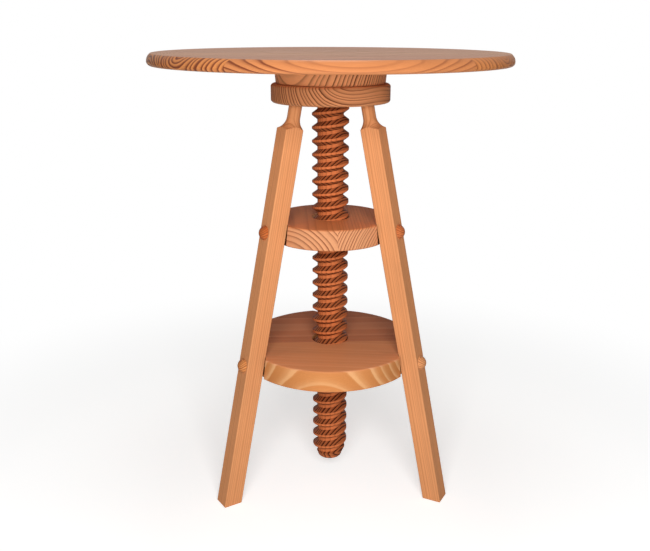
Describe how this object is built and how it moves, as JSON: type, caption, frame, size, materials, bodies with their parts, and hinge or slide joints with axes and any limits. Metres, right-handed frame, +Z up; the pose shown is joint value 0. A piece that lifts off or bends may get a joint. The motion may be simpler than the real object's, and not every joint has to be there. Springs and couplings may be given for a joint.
{
  "type": "swivel table",
  "caption": "Round wooden side table on splayed legs with small round shelves; the top turns on a threaded wooden spindle in a fixed collar to set its height.",
  "frame": {"origin": "on the floor, on the spindle's axis in the middle of the table", "axes": "+Z up along the spindle; -Y towards the front, between the left and right legs; the third leg is at +Y"},
  "size_m": [0.6, 0.6, 0.7785],
  "materials": {
    "top_wood": "oiled",
    "hub_wood": "oiled",
    "collar_wood": "oiled",
    "shelf_wood": "oiled",
    "leg_wood": "oiled",
    "spindle_wood": "oiled",
    "peg_wood": "oiled",
    "screw_steel": "zinc plated"
  },
  "bodies": {
    "stand": {"leg_left": "leg_wood", "leg_right": "leg_wood", "leg_rear": "leg_wood", "threaded_collar": "collar_wood", "mid_shelf_left_board": "shelf_wood", "mid_shelf_right_board": "shelf_wood", "lower_shelf_front_board": "shelf_wood", "lower_shelf_rear_board": "shelf_wood", "mid_peg_left": "peg_wood", "mid_peg_right": "peg_wood", "mid_peg_rear": "peg_wood", "lower_peg_left": "peg_wood", "lower_peg_right": "peg_wood", "lower_peg_rear": "peg_wood"},
    "lift": {"spindle_lag_screw": "screw_steel", "spindle_washer": "screw_steel"},
    "top": {"top_board_1": "top_wood", "top_board_2": "top_wood", "top_board_3": "top_wood", "top_board_4": "top_wood", "top_board_5": "top_wood", "top_board_6": "top_wood", "hub": "hub_wood", "spindle": "spindle_wood", "hub_screws": "screw_steel"}
  },
  "joints": [
    {"name": "spindle_rise", "type": "slide", "parent": "stand", "child": "lift", "axis": [0, 0, 1], "range_m": [0, 0.2302]},
    {"name": "top_swivel", "type": "hinge", "parent": "lift", "child": "top", "pos_m": [0, 0, 0.7], "axis": [0, 0, 1], "range_deg": [0, 3600]}
  ],
  "couplings": [
    {"joint": "spindle_rise", "follows": "top_swivel", "m_per_rad": 0.0036606}
  ]
}
